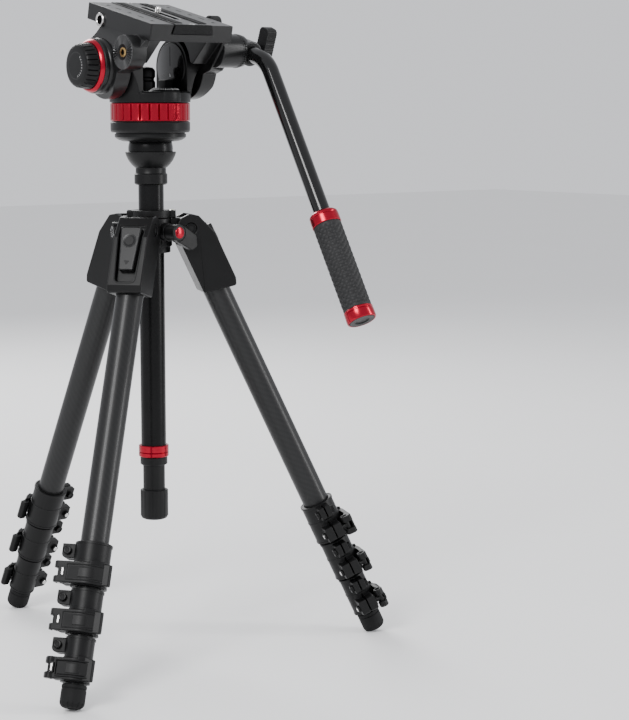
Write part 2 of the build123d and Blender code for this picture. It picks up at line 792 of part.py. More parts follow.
def bar_clamp():
    """Barrel round the pan bar, on the disc that sits on the rosette."""
    along = bar_direction(ROSETTE, BAR_CORNER)
    across = Plane(origin=Vector(*bar_point(ROSETTE)) - along * 30, x_dir=(1, 0, 0), z_dir=along)
    with BuildPart() as block:
        with BuildSketch(across.offset(30 - BARREL_HALF)):
            Circle(BARREL_RADIUS)
        extrude(amount=2 * BARREL_HALF)
        fillet(block.edges(), 1.5)
        with BuildSketch(Plane.YZ.offset(76.4)):
            with Locations(ROSETTE):
                Rectangle(80, 80)
        extrude(amount=-20, mode=Mode.SUBTRACT)
        with BuildSketch(Plane.YZ.offset(76.4)):
            with Locations(ROSETTE):
                Circle(ROSETTE_RADIUS - 1)
        extrude(amount=6)
        with BuildSketch(across):
            Circle(BAR_RADIUS + FIT)
        extrude(amount=60, mode=Mode.SUBTRACT)
        with BuildSketch(Plane.YZ.offset(97)):
            with Locations(ROSETTE):
                Circle(3 + FIT)
        extrude(amount=4, mode=Mode.SUBTRACT)
    return block.part


def clamp_knob():
    """Paddle knob that tightens the bar clamp."""
    with BuildPart() as knob:
        with BuildSketch(Plane.YZ.offset(97)):
            with Locations(ROSETTE):
                Circle(3)
        extrude(amount=5)
        with BuildSketch(Plane.YZ.offset(101)):
            with Locations(ROSETTE):
                Circle(7.5)
        extrude(amount=18.5)
        with BuildSketch(Plane.YZ.offset(107)) as paddle:
            with Locations((ROSETTE[0] - 2.5, ROSETTE[1] + 10)):
                Rectangle(16, 34, rotation=8)
            fillet(paddle.vertices(), 4)
        extrude(amount=12.5)
    return knob.part


def pan_bar():
    """Bent tubular bar, from inside its clamp to the end of the grip."""
    begin = Vector(*bar_point(ROSETTE)) - bar_direction(ROSETTE, BAR_CORNER) * 15
    with BuildPart() as bar:
        with BuildLine() as path:
            FilletPolyline(begin, bar_point(BAR_CORNER), bar_point(BAR_END), radius=36)
        section = Plane(origin=path.line @ 0, x_dir=(1, 0, 0), z_dir=path.line % 0)
        with BuildSketch(section):
            Circle(BAR_RADIUS)
        sweep()
    return bar.part


def grip():
    """Rubber grip between two end collars, three solids on the bar."""
    back = bar_direction(BAR_END, BAR_CORNER)
    end = Vector(*bar_point(BAR_END))
    solids = []
    for start, length, radius in ((-4, 13, 15.7), (9, GRIP_LENGTH - 24, 15.0),
                                  (GRIP_LENGTH - 15, 15, 15.7)):
        with BuildPart() as sleeve:
            with BuildSketch(Plane(origin=end + back * start, x_dir=(1, 0, 0), z_dir=back)):
                Circle(radius)
            extrude(amount=length)
            if start < 0:
                bore = Plane(origin=end, x_dir=(1, 0, 0), z_dir=back)
            else:
                bore = Plane(origin=end + back * start, x_dir=(1, 0, 0), z_dir=back)
            with BuildSketch(bore):
                Circle(BAR_RADIUS + 0.02)
            extrude(amount=length + 1, mode=Mode.SUBTRACT)
        solids.append(sleeve.part.solid())
    return Compound(solids)


def make_centre():
    save(spider(), "spider")
    bolt = pivot_bolt()
    bolts = [leg_place(azimuth) * bolt.solid() for azimuth in LEGS.values()]
    save(Compound(bolts), "pivot_bolts")
    save(level_collar(), "level_collar")
    save(column_lock_knob(), "column_lock_knob", spoke(LOCK_AZIMUTH, LOCK_Z))
    save(centre_column(), "centre_column")
    save(column_end_ring(), "column_end_ring")
    save(levelling_handle(), "levelling_handle")
    save(levelling_ball(), "levelling_ball")


def make_head():
    save(head_base(), "head_base")
    save(pan_drag_ring(), "pan_drag_ring")
    save(yoke(), "yoke")
    for piece in (tilt_body, tilt_drag_knob, tilt_lock_knob, sliding_plate, camera_screw,
                  plate_lock_knob, bar_clamp, clamp_knob, pan_bar, grip):
        save(piece(), piece.__name__, tilt_place())


make_legs()
make_centre()
make_head()
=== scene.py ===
"""Looks of a four-section carbon tripod with a levelling column and a fluid head.

Each piece is drawn in millimetres in a frame of its own, a leg's, the column's or the
tilting body's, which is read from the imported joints. Building a piece stands it in its
place in metres, and makes it ride on its body.
"""
import json
from math import acos, cos, hypot, pi, radians, sin

import bmesh
import bpy
from mathutils import Matrix, Vector

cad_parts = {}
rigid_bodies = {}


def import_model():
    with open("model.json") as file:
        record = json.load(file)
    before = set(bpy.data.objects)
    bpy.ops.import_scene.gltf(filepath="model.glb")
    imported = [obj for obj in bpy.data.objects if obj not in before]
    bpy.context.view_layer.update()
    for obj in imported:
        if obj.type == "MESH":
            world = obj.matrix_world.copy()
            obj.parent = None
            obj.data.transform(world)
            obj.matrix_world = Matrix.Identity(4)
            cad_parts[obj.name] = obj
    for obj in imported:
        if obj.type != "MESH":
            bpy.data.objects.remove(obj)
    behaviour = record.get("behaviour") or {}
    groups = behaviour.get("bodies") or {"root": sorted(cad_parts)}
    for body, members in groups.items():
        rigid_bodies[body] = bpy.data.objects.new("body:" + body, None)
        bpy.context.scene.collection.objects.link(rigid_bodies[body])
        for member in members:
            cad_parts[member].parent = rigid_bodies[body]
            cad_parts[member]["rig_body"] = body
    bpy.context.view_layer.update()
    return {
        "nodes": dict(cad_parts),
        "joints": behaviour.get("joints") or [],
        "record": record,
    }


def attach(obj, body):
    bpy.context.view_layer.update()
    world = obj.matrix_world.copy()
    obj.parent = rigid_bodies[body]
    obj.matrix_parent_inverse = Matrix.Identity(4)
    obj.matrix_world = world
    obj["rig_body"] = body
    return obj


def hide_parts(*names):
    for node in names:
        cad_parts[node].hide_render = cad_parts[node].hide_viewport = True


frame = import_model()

JOINTS = {joint["name"]: joint for joint in frame["joints"]}
MOUNTS = {mount["name"]: mount for mount in frame["record"]["mounts"]}
LEGS = ("leg_a", "leg_b", "leg_c")
SIDES = ((-1, "left"), (1, "right"))
UP = Vector((0, 0, 1))


# ---------------------------------------------------------------- frames
def basis(origin, x, z):
    """A frame drawn in millimetres, from its origin in metres and two of its axes."""
    x, z = Vector(x).normalized(), Vector(z).normalized()
    place = Matrix((x, z.cross(x), z)).transposed().to_4x4()
    place.translation = Vector(origin)
    return place @ Matrix.Scale(0.001, 4)


def leg_frame(leg):
    """Pivot at the origin, leg down -Z, +X away from the column."""
    hinge = JOINTS[f"{leg}_spread"]
    down = Vector(JOINTS[f"{leg}_section_2_slide"]["axis"])
    return basis(hinge["pos_m"], Vector(hinge["axis"]).cross(down), -down)


def column_frame():
    """Column axis at the origin of the floor."""
    x, y, _ = JOINTS["pan"]["pos_m"]
    return basis((x, y, 0), (1, 0, 0), UP)


def tilt_frame():
    """Tilt axis at the origin, +Y along the camera plate."""
    hinge = JOINTS["tilt"]
    along = Vector(JOINTS["plate_slide"]["axis"])
    return basis(hinge["pos_m"], hinge["axis"], Vector(hinge["axis"]).cross(along))


def facing(place, origin, direction):
    """A frame at a point of another, +Z along a sideways direction of it and +Y up."""
    turn = Vector(direction).to_track_quat("Z", "Y").to_matrix().to_4x4()
    return place @ Matrix.Translation(origin) @ turn


def shifted(place, *offset):
    return place @ Matrix.Translation(offset)


def mount_frame(name):
    """A frame at a mount of the record, +Z out of it."""
    mount = MOUNTS[name]
    turn = Vector(mount["axis"]).to_track_quat("Z", "Y").to_matrix().to_4x4()
    return Matrix.Translation(mount["pos_m"]) @ turn @ Matrix.Scale(0.001, 4)


def extent(node, place):
    """Lowest and highest corner of a CAD node in a frame, in its millimetres."""
    inside = place.inverted()
    corners = [inside @ v.co for v in frame["nodes"][node].data.vertices]
    low = Vector(min(c[i] for c in corners) for i in range(3))
    high = Vector(max(c[i] for c in corners) for i in range(3))
    return low, high


COLUMN = column_frame()
TILT = tilt_frame()


# ---------------------------------------------------------------- finishes
class Graph:
    """One material whose colour, roughness and bump are worked out by nodes."""

    def __init__(self, name, slot, metallic=0.0, specular=0.5, coat=0.0):
        self.material = bpy.data.materials.new(name)
        self.material.use_nodes = True
        self.material["slot"] = slot
        self.tree = self.material.node_tree
        self.shader = self.tree.nodes["Principled BSDF"]
        self.shader.inputs["Metallic"].default_value = metallic
        self.shader.inputs["Specular IOR Level"].default_value = specular
        self.shader.inputs["Coat Weight"].default_value = coat
        self.shader.inputs["Coat Roughness"].default_value = 0.12
        self.where = self.add("ShaderNodeTexCoord").outputs["Object"]

    def add(self, kind, inputs=None, **settings):
        node = self.tree.nodes.new(kind)
        for key, value in settings.items():
            setattr(node, key, value)
        for key, value in (inputs or {}).items():
            self.feed(node.inputs[key], value)
        return node

    def feed(self, socket, value):
        if isinstance(value, bpy.types.NodeSocket):
            self.tree.links.new(value, socket)
        else:
            socket.default_value = value

    def math(self, operation, first, second=0.0):
        return self.add("ShaderNodeMath", {0: first, 1: second},
                        operation=operation).outputs[0]

    def noise(self, scale, detail=3.0):
        return self.add("ShaderNodeTexNoise", {
            "Vector": self.where, "Scale": scale, "Detail": detail}).outputs["Fac"]

    def between(self, share, low, high):
        return self.add("ShaderNodeMapRange", {
            "Value": share, "To Min": low, "To Max": high}).outputs["Result"]

    def blend(self, share, first, second):
        node = self.add("ShaderNodeMix", data_type="RGBA")
        self.feed(node.inputs["Factor"], share)
        self.feed(node.inputs["A"], first)
        self.feed(node.inputs["B"], second)
        return node.outputs["Result"]

    def edges(self, radius):
        """1 on convex and concave edges, fading to 0 within the radius in metres."""
        rounded = self.add("ShaderNodeBevel", {"Radius": radius}, samples=4)
        flat = self.add("ShaderNodeNewGeometry")
        match = self.add("ShaderNodeVectorMath", {
            0: rounded.outputs["Normal"], 1: flat.outputs["Normal"]}, operation="DOT_PRODUCT")
        return self.add("ShaderNodeMapRange", {
            "Value": match.outputs["Value"], "From Min": 0.99, "From Max": 0.86}
        ).outputs["Result"]

    def bump(self, height, strength, distance):
        node = self.add("ShaderNodeBump", {
            "Height": height, "Strength": strength, "Distance": distance})
        self.feed(self.shader.inputs["Normal"], node.outputs["Normal"])

    def set(self, **sockets):
        for key, value in sockets.items():
            self.feed(self.shader.inputs[key.replace("_", " ")], value)


def grey(value):
    return (value, value * 1.01, value * 1.04, 1)


def grained(name, slot, colour, light, rough, grain, bump=0.12, wear_and_highlight=0.0, **shader):
    """Paint, moulding or rubber: uneven colour, fine grain, and edges lightened partly as rubbed
    paint, partly as a painted highlight.
    """
    graph = Graph(name, slot, **shader)
    tone = graph.blend(graph.noise(38), colour, light)
    if wear_and_highlight:
        # Convex and concave edges are lightened towards five times the light tone: partly rubbed
        # paint, partly a painted highlight where edges catch the light.
        tone_shift = graph.math("MULTIPLY", graph.edges(0.0006), wear_and_highlight)
        tone = graph.blend(tone_shift, tone, tuple(min(1, 5 * c + 0.02) for c in light[:3]) + (1,))
    fine = graph.noise(grain, 4)
    graph.set(Base_Color=tone, Roughness=graph.between(graph.noise(90), rough - 0.05,
                                                       rough + 0.07))
    graph.bump(fine, bump, 0.0002)
    return graph.material


def anodised(name, slot, colour, light, rough, metallic=0.9, bump=0.05, **shader):
    """Turned and dyed aluminium, or bare steel: fine streaks round the piece."""
    graph = Graph(name, slot, metallic=metallic, **shader)
    stretch = graph.add("ShaderNodeMapping", {"Vector": graph.where,
                                              "Scale": (220, 220, 5200)})
    streaks = graph.add("ShaderNodeTexNoise", {
        "Vector": stretch.outputs["Vector"], "Scale": 1.0, "Detail": 3.0}).outputs["Fac"]
    graph.set(Base_Color=graph.blend(graph.noise(30), colour, light),
              Roughness=graph.between(streaks, rough - 0.06, rough + 0.08))
    graph.bump(streaks, bump, 0.00005)
    return graph.material


def woven(name, slot, tow=1.9):
    """Twill of flat carbon tows under resin, laid out by the mesh's lay attribute."""
    graph = Graph(name, slot, specular=0.28, coat=0.06)
    lay = graph.add("ShaderNodeAttribute", attribute_name="lay").outputs["Vector"]
    parts = graph.add("ShaderNodeSeparateXYZ", {0: lay}).outputs
    across = graph.math("DIVIDE", parts[0], tow)
    along = graph.math("DIVIDE", parts[1], tow)
    step = graph.math("ADD", graph.math("FLOOR", across), graph.math("FLOOR", along))
    over = graph.math("LESS_THAN", graph.math("FLOORED_MODULO", step, 4.0), 1.5)
    warp = graph.math("SINE", graph.math("MULTIPLY", graph.math("FRACT", across), pi))
    weft = graph.math("SINE", graph.math("MULTIPLY", graph.math("FRACT", along), pi))
    crown = graph.add("ShaderNodeMix", {0: over, 2: weft, 3: warp}).outputs[0]
    tone = graph.blend(over, grey(0.007), grey(0.011))
    tone_shift = graph.blend(graph.noise(14), tone, grey(0.009))
    graph.set(Base_Color=tone_shift, Roughness=graph.between(crown, 0.44, 0.36))
    graph.bump(crown, 0.10, 0.0001)
    return graph.material


CARBON = woven("carbon_weave", "carbon_tube")
# Castings, mouldings and grey paint get lightened edges, partly rubbed paint and partly a painted
# highlight.
CASTING = grained("matt_black_paint", "black_casting", grey(0.003), grey(0.005), 0.36, 1500,
                  bump=0.14, wear_and_highlight=0.5, specular=0.2)
SATIN = grained("satin_charcoal_paint", "grey_casting", grey(0.005), grey(0.008), 0.30, 900,
                bump=0.05, wear_and_highlight=0.6, specular=0.3)
MOULDING = grained("grained_moulding", "black_moulding", grey(0.0035), grey(0.006), 0.40,
                   2100, bump=0.2, wear_and_highlight=0.35, specular=0.2)
RUBBER = grained("matt_rubber", "black_rubber", grey(0.005), grey(0.008), 0.66, 2600,
                 bump=0.3, specular=0.18)
SOFT_GRIP = grained("soft_grip", "black_rubber", grey(0.010), grey(0.018), 0.55, 2600,
                    bump=0.2, specular=0.3)
# Lighter satin grey: partly the clamp's own grey paint, partly a painted highlight for the light
# caught by the barrel and the rosette teeth.
GREY_AND_HIGHLIGHT = grained("satin_grey_paint_and_highlight", "grey_casting", grey(0.016), grey(0.024), 0.30,
                      900, bump=0.05, wear_and_highlight=0.5, specular=0.45)
# Painted shade: a dark, rough finish laid on slots, slits, pads and recess floors, standing for the
# shade that falls in them.
RECESS_SHADE = grained("painted_recess_shade", "black_moulding", grey(0.004), grey(0.006), 0.6, 1200,
                 specular=0.25)
PRINT = grained("white_print", "black_casting", (0.62, 0.62, 0.62, 1),
                (0.72, 0.72, 0.72, 1), 0.5, 900, bump=0.03)
RED = anodised("red_anodised", "red_anodised", (0.29, 0.007, 0.020, 1),
               (0.38, 0.011, 0.028, 1), 0.22)
BLACK_METAL = anodised("black_anodised", "black_anodised", grey(0.005), grey(0.010), 0.28,
                       metallic=0.5, specular=0.2)
GLOSS = anodised("gloss_black_tube", "black_anodised", grey(0.003), grey(0.005), 0.12,
                 metallic=0.1, bump=0.01, coat=0.25, specular=0.3)
STEEL = anodised("bright_steel", "bare_steel", (0.52, 0.51, 0.50, 1),
                 (0.66, 0.65, 0.64, 1), 0.22, metallic=1.0)
BRASS = anodised("brass_insert", "bare_steel", (0.52, 0.33, 0.12, 1),
                 (0.62, 0.42, 0.18, 1), 0.28, metallic=1.0)
VIAL = grained("level_fluid", "black_moulding", (0.42, 0.55, 0.04, 1),
               (0.52, 0.66, 0.08, 1), 0.12, 300, bump=0.0, coat=1.0)


# ---------------------------------------------------------------- mesh tools
def finish_piece(name, mesh, look, body, smooth=34):
    """Shade a mesh, make it an object in its finish, and let it ride on its body."""
    shell = bmesh.new()
    shell.from_mesh(mesh)
    bmesh.ops.recalc_face_normals(shell, faces=shell.faces)
    shell.to_mesh(mesh)
    shell.free()
    mesh.polygons.foreach_set("use_smooth", [True] * len(mesh.polygons))
    mesh.set_sharp_from_angle(angle=radians(smooth))
    mesh.materials.append(look)
    piece = bpy.data.objects.new(name, mesh)
    bpy.context.scene.collection.objects.link(piece)
    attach(piece, body)
    return piece


def build(name, points, faces, place, look, body, smooth=34):
    mesh = bpy.data.meshes.new(name)
    mesh.from_pydata([place @ Vector(p) for p in points], [], faces)
    return finish_piece(name, mesh, look, body, smooth)


def round_edges(piece, width, segments=2, angle=32):
    """Rounds a piece's sharp edges, by a width in millimetres."""
    bevel = piece.modifiers.new("edges", "BEVEL")
    bevel.width = width * 0.001
    bevel.segments = segments
    bevel.limit_method = "ANGLE"
    bevel.angle_limit = radians(angle)
    bevel.harden_normals = True
    bevel.use_clamp_overlap = False
    return piece


def softened(node, look, width, segments=2, angle=32):
    """The CAD node's own shape with rounded edges, which stands for it."""
    source = frame["nodes"][node].data
    mesh = bpy.data.meshes.new(f"{node}_looks")
    mesh.from_pydata([v.co for v in source.vertices], [],
                     [p.vertices[:] for p in source.polygons])
    shell = bmesh.new()
    shell.from_mesh(mesh)
    bmesh.ops.remove_doubles(shell, verts=shell.verts, dist=2e-6)
    bmesh.ops.dissolve_limit(shell, angle_limit=radians(0.6), verts=shell.verts,
                             edges=shell.edges)
    shell.to_mesh(mesh)
    shell.free()
    piece = finish_piece(f"{node}_looks", mesh, look, body_of(node), smooth=180)
    round_edges(piece, width, segments, angle)
    flat = piece.modifiers.new("flat_faces", "WEIGHTED_NORMAL")
    flat.weight = 100
    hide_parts(node)
    return piece


def body_of(node):
    return frame["nodes"][node]["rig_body"]


def lathe(name, profile, place, look, body, steps=96, ribs=None, smooth=34):
    """A turned piece: (radius, height) points about the frame's Z.

    ribs(angle, radius, height) may change a point's radius, for flutes and knurls. The lay
    attribute measures round and along the surface, for a weave.
    """
    points, rings = [], []
    for radius, height in profile:
        count = steps if radius > 1e-6 else 1
        rings.append((len(points), count))
        for k in range(count):
            angle = 2 * pi * k / steps
            reach = ribs(angle, radius, height) if ribs and radius > 1e-6 else radius
            points.append((reach * cos(angle), reach * sin(angle), height))
    faces, laid = [], []
    travel = 0.0
    for low in range(len(profile) - 1):
        (first, n_first), (second, n_second) = rings[low], rings[low + 1]
        step = hypot(profile[low + 1][0] - profile[low][0],
                     profile[low + 1][1] - profile[low][1])
        girth = 2 * pi * max(profile[low][0], profile[low + 1][0])
        for k in range(steps):
            after = (k + 1) % steps
            corners = [(first + k % n_first, k, 0), (first + after % n_first, k + 1, 0),
                       (second + after % n_second, k + 1, 1), (second + k % n_second, k, 1)]
            unique = []
            for corner in corners:
                if corner[0] not in [u[0] for u in unique]:
                    unique.append(corner)
            if len(unique) > 2:
                faces.append([u[0] for u in unique])
                laid += [(girth * u[1] / steps, travel + step * u[2], 0) for u in unique]
        travel += step
    mesh = bpy.data.meshes.new(name)
    mesh.from_pydata([place @ Vector(p) for p in points], [], faces)
    lay = mesh.attributes.new("lay", "FLOAT_VECTOR", "CORNER")
    lay.data.foreach_set("vector", [value for corner in laid for value in corner])
    return finish_piece(name, mesh, look, body, smooth)


def prism(name, outline, low, high, place, look, body, edge=0.0, smooth=34):
    """An outline in the frame's XY, from one height to another."""
    count = len(outline)
    points = [(x, y, low) for x, y in outline] + [(x, y, high) for x, y in outline]
    sides = [(k, (k + 1) % count, (k + 1) % count + count, k + count) for k in range(count)]
    faces = [tuple(range(count))[::-1], tuple(range(count, 2 * count))] + sides
    piece = build(name, points, faces, place, look, body, smooth)
    return round_edges(piece, edge) if edge else piece


def slab(width, height, corner=0.0, centre=(0, 0), steps=5):
    """Outline of a rectangle with round corners."""
    x, y = width / 2 - corner, height / 2 - corner
    outline = []
    for quarter, (cx, cy) in enumerate(((x, y), (-x, y), (-x, -y), (x, -y))):
        for k in range(steps + 1) if corner else range(1):
            angle = pi / 2 * (quarter + (k / steps if corner else 0))
            outline.append((centre[0] + cx + corner * cos(angle),
                            centre[1] + cy + corner * sin(angle)))
    return outline


def band(name, outline, inner, low, high, place, look, body, edge=0.3):
    """A flat frame between two outlines with the same number of points."""
    count = len(outline)
    points = [(x, y, z) for z in (low, high) for ring in (outline, inner) for x, y in ring]
    faces = []
    for k in range(count):
        n = (k + 1) % count
        faces += [(k, n, n + count, k + count),
                  (k + 2 * count, k + 3 * count, n + 3 * count, n + 2 * count),
                  (k, k + 2 * count, n + 2 * count, n),
                  (k + count, n + count, n + 3 * count, k + 3 * count)]
    return round_edges(build(name, points, faces, place, look, body), edge)


def bead(name, points, radius, place, look, body):
    """A closed round bead along points of the frame."""
    curve = bpy.data.curves.new(name, "CURVE")
    curve.dimensions = "3D"
    curve.bevel_depth = radius * 0.001
    curve.bevel_resolution = 3
    spline = curve.splines.new("POLY")
    spline.points.add(len(points) - 1)
    for point, place_at in zip(spline.points, points):
        point.co = (*(place @ Vector(place_at)), 1)
    spline.use_cyclic_u = True
    holder = bpy.data.objects.new(name, curve)
    bpy.context.scene.collection.objects.link(holder)
    bpy.context.view_layer.update()
    mesh = bpy.data.meshes.new_from_object(holder)
    bpy.data.objects.remove(holder)
    mesh.materials.clear()
    return finish_piece(name, mesh, look, body)


def toothed(name, inner, outer, low, high, count, place, look, body):
    """A ring of radial teeth on the frame's XY, as on a rosette."""
    points, faces = [], []
    total = 2 * count
    for k in range(total):
        angle = 2 * pi * k / total
        top = high if k % 2 else high - (high - low) * 0.75
        for radius, height in ((inner, low), (outer, low), (outer, top), (inner, top)):
            points.append((radius * cos(angle), radius * sin(angle), height))
    for k in range(total):
        a, b = 4 * k, 4 * ((k + 1) % total)
        faces += [(a + i, b + i, b + (i + 1) % 4, a + (i + 1) % 4) for i in range(4)]
    return build(name, points, faces, place, look, body, smooth=20)


def fluted(count, depth, low, high, valley=0.16, crown=0.0):
    """Grips with narrow valleys between them, over a stretch of the height."""
    def ribs(angle, radius, height):
        if not low <= height <= high:
            return radius
        share = (angle * count / (2 * pi)) % 1.0
        cut = depth * max(0.0, 1 - min(share, 1 - share) / valley) ** 0.7
        return radius - cut - crown * (2 * share - 1) ** 2
    return ribs


def socket_head(name, radius, height, place, body):
    """A bolt head with a hexagonal recess."""
    recess = radius * 0.5
    lathe(name, [(recess, 0.05), (recess, height * 0.9), (recess + 0.25, height),
                 (radius * 0.93, height), (radius, height * 0.7), (radius, -0.2)],
          place, BLACK_METAL, body, steps=48,
          ribs=lambda angle, r, h: r / cos((angle % (pi / 3)) - pi / 6)
          if r < recess + 0.3 else r)
    # The recess floor is a disc in painted shade.
    lathe(f"{name}_recess", [(0, 0.08), (recess * 1.2, 0.08)], place, RECESS_SHADE, body, steps=24)


# ---------------------------------------------------------------- legs
CLAMP_LENGTH = 45.7
BAND_LENGTH = 20.5
PIN_X = 17.5
TUBE_WALL = 1.5
SHOULDER_FACE = 22.5  # outside of the shoulder, from the pivot
PIVOT_HEAD = 18.6     # face of a pivot bolt's head, from the leg's middle


def leg_tubes(leg, place):
    for index in range(1, 5):
        node = f"{leg}_tube_{index}"
        low, high = extent(node, place)
        bore = high.x - TUBE_WALL
        piece = lathe(f"{node}_looks", [(bore, low.z), (high.x, low.z), (high.x, high.z),
                                        (bore, high.z), (bore, low.z)],
                      place, CARBON, body_of(node), steps=128)
        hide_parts(node)


def shoulder_details(leg, place):
    """The shoulder, with a raised rim round the latch's pocket."""
    body = body_of(f"{leg}_shoulder")
    softened(f"{leg}_shoulder", CASTING, 1.3, 3)
    face = facing(place, (SHOULDER_FACE, 0, 0), (1, 0, 0))
    route = [(14.6, -1.4), (13.9, -16), (11.6, -61.5)] + [
        (6.6 + 5 * cos(radians(a)), -62.5 + 5 * sin(radians(a))) for a in range(-10, -91, -20)]
    route += [(-x, y) for x, y in reversed(route)]
    shelf, slope = -16, 0.34
    bead(f"{leg}_pocket_rim", [(x, y, -0.1 - slope * max(0, y - shelf)) for x, y in route],
         0.85, face, CASTING, body)


def latch_details(leg, place):
    body = body_of(f"{leg}_angle_latch")
    softened(f"{leg}_angle_latch", SATIN, 0.9, 3)
    _, high = extent(f"{leg}_angle_latch", place)
    face = facing(place, (high.x, 0, -21), (1, 0, 0))
    lathe(f"{leg}_latch_dish", [(0, 0.25), (5.6, 0.25), (6.4, 0.7), (7.2, 0.7), (7.8, -0.3)],
          face, SATIN, body, steps=64)
    lathe(f"{leg}_latch_disc", [(0, 0.45), (4.8, 0.45), (5.2, 0.1)], face, MOULDING, body,
          steps=64)
    arrow = [(0, -27), (3.2, -22.5), (-3.2, -22.5)]
    prism(f"{leg}_latch_arrow", arrow, -0.2, 0.25, face, MOULDING, body, edge=0.15)


def clamp_details(leg, place, index):
    node = f"{leg}_clamp_{index}"
    body = body_of(node)
    softened(node, MOULDING, 0.8)
    _, tube_high = extent(f"{leg}_tube_{index}", place)
    _, high = extent(node, place)
    radius, top = tube_high.x + 3.8, high.z
    low = top - CLAMP_LENGTH
    for name, level, height, reach in (("crown", top - 2.6, 2.9, 0.7),
                                       ("waist", top - BAND_LENGTH - 1.2, 2.2, 0.45),
                                       ("hem", low - 0.1, 2.4, 0.5)):
        lathe(f"{node}_{name}", [(radius - 1, level), (radius + reach, level + 0.3),
                                 (radius + reach, level + height - 0.4),
                                 (radius - 0.2, level + height), (radius - 1, level + height)],
              place, MOULDING, body)
    lug = -(radius + 6.5)
    for side in (-1, 1):
        ear = facing(place, (side * 10, lug, top - 9), (side, 0, 0))
        socket_head(f"{node}_ear_bolt_{'in' if side < 0 else 'out'}", 4.25, 0.6, ear, body)
    nut = facing(place, (-13, lug, low + 11.5), (-1, 0, 0))
    lathe(f"{node}_nut_end", [(0, 0.6), (2.0, 0.6), (2.5, 0.2), (2.6, -0.4)], nut, STEEL, body,
          steps=40)


def strip_faces(rows):
    """Faces of a closed strip of sections with four corners each, and its two ends."""
    last = 4 * rows
    sides = [(4 * k + i, 4 * k + 4 + i, 4 * k + 4 + (i + 1) % 4, 4 * k + (i + 1) % 4)
             for k in range(rows) for i in range(4)]
    return sides + [(0, 1, 2, 3), (last, last + 3, last + 2, last + 1)]


def lever_details(leg, place, index):
    """Raised border, recessed pad in painted shade, and steel window on the outside of a lever."""
    node = f"{leg}_lever_{index}"
    body = body_of(node)
    softened(node, MOULDING, 1.0, 3)
    low, high = extent(node, place)
    outer, bottom, top = high.x, low.z, high.z
    pin_y = -(outer - 6.4 + 6.5)

    def surface(run, height, lift):
        """A point of the outside: run > 0 goes round the clamp, run < 0 to the pin."""
        if run < 0:
            return (outer + lift, run, height)
        angle = run / outer
        return ((outer + lift) * cos(angle), (outer + lift) * sin(angle), height)

    far = outer * acos(10 / outer) - 3.0
    near = pin_y + 8.5
    left, right = bottom + 3.2, top - 5.6
    route = [(near + (far - near) * k / 24, left) for k in range(25)]
    route += [(far + 1.0, left + (right - left) * k / 6) for k in range(1, 6)]
    route += [(far - (far - near) * k / 24, right) for k in range(25)]
    bead(f"{node}_border", [surface(run, height, 0.1) for run, height in route], 0.75, place,
         MOULDING, body)
    # The pad is coloured in painted shade, for the shade in its hollow below the border.
    pad = []
    for k in range(25):
        run = near + 1.6 + (far - near - 2.6) * k / 24
        for height, lift in ((left + 1.6, -0.3), (left + 1.6, 0.22), (right - 1.6, 0.22),
                             (right - 1.6, -0.3)):
            pad.append(surface(run, height, lift))
    build(f"{node}_pad", pad, strip_faces(24), place, RECESS_SHADE, body)
    block = []
    for k in range(13):
        run = near + (far - near) * (0.30 + 0.38 * k / 12)
        for height, lift in ((left + 3.0, -0.2), (left + 3.0, 0.9), (right - 3.0, 0.9),
                             (right - 3.0, -0.2)):
            block.append(surface(run, height, lift))
    round_edges(build(f"{node}_block", block, strip_faces(12), place, MOULDING, body), 0.4)
    window = facing(place, (outer, pin_y + 4.2, bottom + 11), (1, 0, 0))
    prism(f"{node}_window", slab(1.9, 7.5, 0.7), -0.4, 0.25, window, STEEL, body, edge=0.15)
    band(f"{node}_window_frame", slab(4.6, 11.0, 1.2), slab(2.3, 8.0, 0.9), -0.4, 0.45, window,
         MOULDING, body, edge=0.2)
    pin = shifted(place, PIN_X, pin_y, bottom)
    lathe(f"{node}_pin_end", [(0, -0.35), (2.1, -0.35), (2.45, 0.0), (2.45, 0.6)], pin, STEEL,
          body, steps=40)


def foot_details(leg, place):
    """Rubber foot: collar with a groove, and a tread cut into its round end."""
    node = f"{leg}_foot"
    low, high = extent(node, place)
    radius, round_end = high.x, 6.0
    profile = [(9.2, high.z), (radius - 0.6, high.z), (radius, high.z - 0.6)]
    groove = high.z - 3.6
    profile += [(radius, groove), (radius - 0.7, groove - 0.4), (radius - 0.7, groove - 1.0),
                (radius, groove - 1.4)]
    for k in range(9):
        angle = pi / 2 * k / 8
        profile.append((radius - round_end + round_end * cos(angle),
                        low.z + round_end - round_end * sin(angle)))
    profile += [(radius - round_end - 3, low.z + 0.2), (0, low.z + 0.2)]
    tread = fluted(14, 0.9, low.z + 1.0, low.z + round_end - 0.1)
    piece = lathe(f"{node}_looks", profile, place, RUBBER, body_of(node), steps=140,
                  ribs=tread)
    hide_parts(node)


def make_legs():
    for leg in LEGS:
        place = leg_frame(leg)
        leg_tubes(leg, place)
        shoulder_details(leg, place)
        latch_details(leg, place)
        foot_details(leg, place)
        for index in (1, 2, 3):
            clamp_details(leg, place, index)
            lever_details(leg, place, index)


# ---------------------------------------------------------------- spider and column
def make_spider():
    softened("spider", CASTING, 1.0)
    softened("pivot_bolts", BLACK_METAL, 0.4)
    for leg in LEGS:
        place = leg_frame(leg)
        for side, hand in SIDES:
            head = facing(place, (0, side * PIVOT_HEAD, 0), (0, side, 0))
            socket_head(f"{leg}_pivot_{hand}", 5.7, 0.35, head, "spider")
    mouth = mount_frame("spider_side_socket")
    reach = 4.5
    toothed("spider_socket_teeth", 6.2, 10.3, reach - 0.6, reach + 0.5, 24, mouth, CASTING,
            "spider")
    lathe("spider_socket_bush", [(4.8, reach - 2.5), (4.8, reach + 0.3), (6.0, reach + 0.3),
                                 (6.0, reach - 0.8)], mouth, STEEL, "spider", steps=48)


